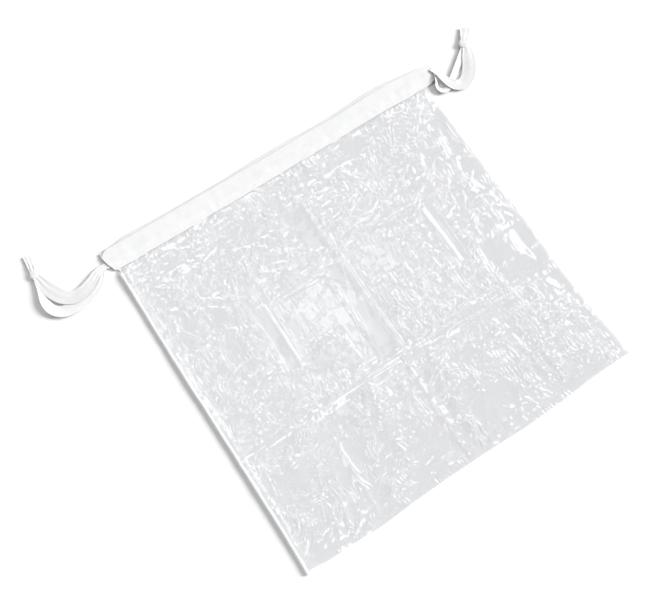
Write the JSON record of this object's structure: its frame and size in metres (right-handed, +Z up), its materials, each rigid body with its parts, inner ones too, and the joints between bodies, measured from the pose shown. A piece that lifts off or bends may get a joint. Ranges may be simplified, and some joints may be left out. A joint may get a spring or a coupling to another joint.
{
  "type": "clear drawstring bag",
  "caption": "Clear film drawstring bag lying flat, with a white hem round its mouth and a pair of white ribbons that leave the hem at each end and are knotted.",
  "frame": {"origin": "on the surface the bag lies on, under the middle of the bag without its free ribbon ends", "axes": "+X along the hem, +Y from the bottom of the bag to its mouth, +Z up from the surface"},
  "size_m": [0.7159, 0.5355, 0.0075],
  "materials": {
    "clear_film": "clear soft film, finely crinkled, with sharp bright highlights",
    "film_weld": "clear film fused into a glossy narrow edge",
    "white_hem": "matte opaque white nonwoven, lightly wrinkled",
    "white_ribbon": "soft white ribbon with a fine rib and a firmer edge"
  },
  "bodies": {
    "bag": {"back_film": "clear_film", "back_hem_fold": "white_hem", "back_hem_inner_ply": "white_hem", "back_hem_outer_ply": "white_hem", "back_hem_seam": "white_hem", "bottom_weld": "film_weld", "front_film": "clear_film", "front_hem_fold": "white_hem", "front_hem_inner_ply": "white_hem", "front_hem_outer_ply": "white_hem", "front_hem_seam": "white_hem", "left_side_weld": "film_weld", "right_side_weld": "film_weld"},
    "left_channel_end": {"back_left_channel_end": "white_hem", "front_left_channel_end": "white_hem"},
    "right_channel_end": {"back_right_channel_end": "white_hem", "front_right_channel_end": "white_hem"},
    "left_ribbon": {"left_knot": "white_ribbon", "left_ribbon_back_run": "white_ribbon", "left_ribbon_back_strand": "white_ribbon", "left_ribbon_back_tail": "white_ribbon", "left_ribbon_front_run": "white_ribbon", "left_ribbon_front_strand": "white_ribbon", "left_ribbon_front_tail": "white_ribbon", "left_ribbon_turn": "white_ribbon"},
    "right_ribbon": {"right_knot": "white_ribbon", "right_ribbon_back_run": "white_ribbon", "right_ribbon_back_strand": "white_ribbon", "right_ribbon_back_tail": "white_ribbon", "right_ribbon_front_run": "white_ribbon", "right_ribbon_front_strand": "white_ribbon", "right_ribbon_front_tail": "white_ribbon", "right_ribbon_turn": "white_ribbon"}
  },
  "joints": [
    {"name": "left_ribbon_pull", "type": "slide", "parent": "bag", "child": "left_ribbon", "axis": [-1, 0, 0], "range_m": [0, 0.15]},
    {"name": "right_ribbon_pull", "type": "slide", "parent": "bag", "child": "right_ribbon", "axis": [1, 0, 0], "range_m": [0, 0.15]},
    {"name": "left_hem_gather", "type": "slide", "parent": "bag", "child": "left_channel_end", "axis": [1, 0, 0], "range_m": [0, 0.15], "deforming": ["back_hem_fold", "back_hem_inner_ply", "back_hem_outer_ply", "back_hem_seam", "front_hem_fold", "front_hem_inner_ply", "front_hem_outer_ply", "front_hem_seam"]},
    {"name": "right_hem_gather", "type": "slide", "parent": "bag", "child": "right_channel_end", "axis": [-1, 0, 0], "range_m": [0, 0.15], "deforming": ["back_hem_fold", "back_hem_inner_ply", "back_hem_outer_ply", "back_hem_seam", "front_hem_fold", "front_hem_inner_ply", "front_hem_outer_ply", "front_hem_seam"]}
  ],
  "couplings": [
    {"joint": "right_ribbon_pull", "follows": "left_ribbon_pull", "ratio": 1},
    {"joint": "left_hem_gather", "follows": "left_ribbon_pull", "ratio": 1},
    {"joint": "right_hem_gather", "follows": "left_ribbon_pull", "ratio": 1}
  ]
}
